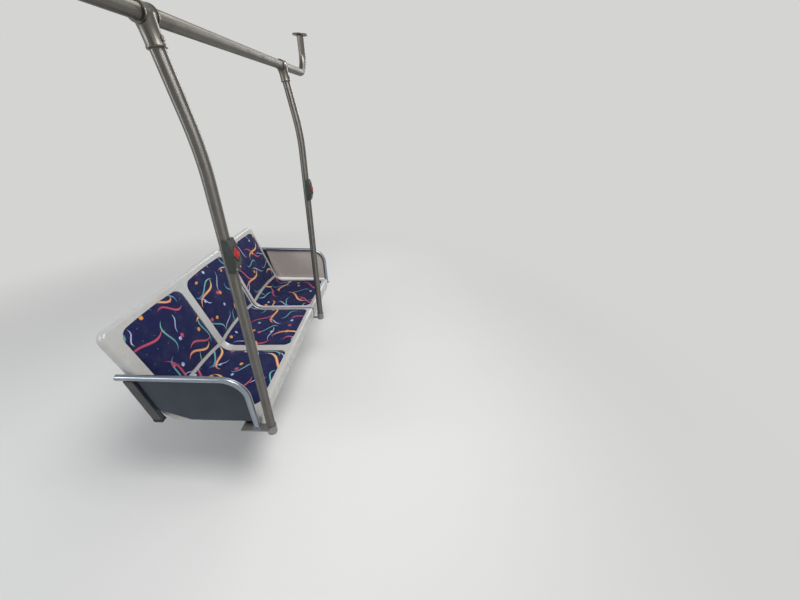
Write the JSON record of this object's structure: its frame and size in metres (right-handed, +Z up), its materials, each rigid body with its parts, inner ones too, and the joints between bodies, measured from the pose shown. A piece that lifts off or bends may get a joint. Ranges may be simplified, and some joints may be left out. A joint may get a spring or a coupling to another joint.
{
  "type": "side-facing bus bench with grab rail",
  "caption": "Side-facing city bus bench: moulded shells with padded inserts, end panels, cantilever arms, stanchions with stop buttons and an overhead grab rail.",
  "frame": {"origin": "on the wall's face, at the middle of the middle wall plate's four bolts", "axes": "+X from the wall towards the aisle, +Y along the bus from the near to the far end, +Z up"},
  "size_m": [0.6669, 1.8237, 1.72],
  "materials": {
    "shell": "semi-gloss moulded shell",
    "upholstery": "woven",
    "frame_steel": "satin black powder coat",
    "stainless": "satin",
    "panel": "satin",
    "post": "satin",
    "rubber": "matte",
    "fitting": "satin cast",
    "housing": "fine grain",
    "button": "gloss"
  },
  "bodies": {
    "root": {"shell_double": "shell", "shell_single": "shell", "back_pad_1": "upholstery", "back_pad_2": "upholstery", "back_pad_3": "upholstery", "seat_pad_1": "upholstery", "seat_pad_2": "upholstery", "seat_pad_3": "upholstery", "front_beam": "frame_steel", "rear_beam": "frame_steel", "arm_1": "frame_steel", "arm_2": "frame_steel", "arm_3": "frame_steel", "wall_plate_1": "frame_steel", "wall_plate_2": "frame_steel", "wall_plate_3": "frame_steel", "upright_1": "frame_steel", "upright_2": "frame_steel", "upright_3": "frame_steel", "back_rail": "frame_steel", "end_rail_near": "stainless", "end_rail_far": "stainless", "end_panel_near": "panel", "end_panel_far": "panel", "end_post_near": "post", "end_post_far": "post", "post_foot_near": "rubber", "post_foot_far": "rubber", "foot_bracket_near": "fitting", "foot_bracket_far": "fitting", "rail_bracket_far": "fitting", "stanchion_near": "stainless", "stanchion_far": "stainless", "tee_near": "fitting", "tee_far": "fitting", "stop_box_near": "housing", "stop_box_far": "housing", "stop_button_near": "button", "stop_button_far": "button", "grab_rail": "stainless", "ceiling_flange_near": "fitting", "ceiling_flange_far": "fitting"}
  },
  "joints": []
}
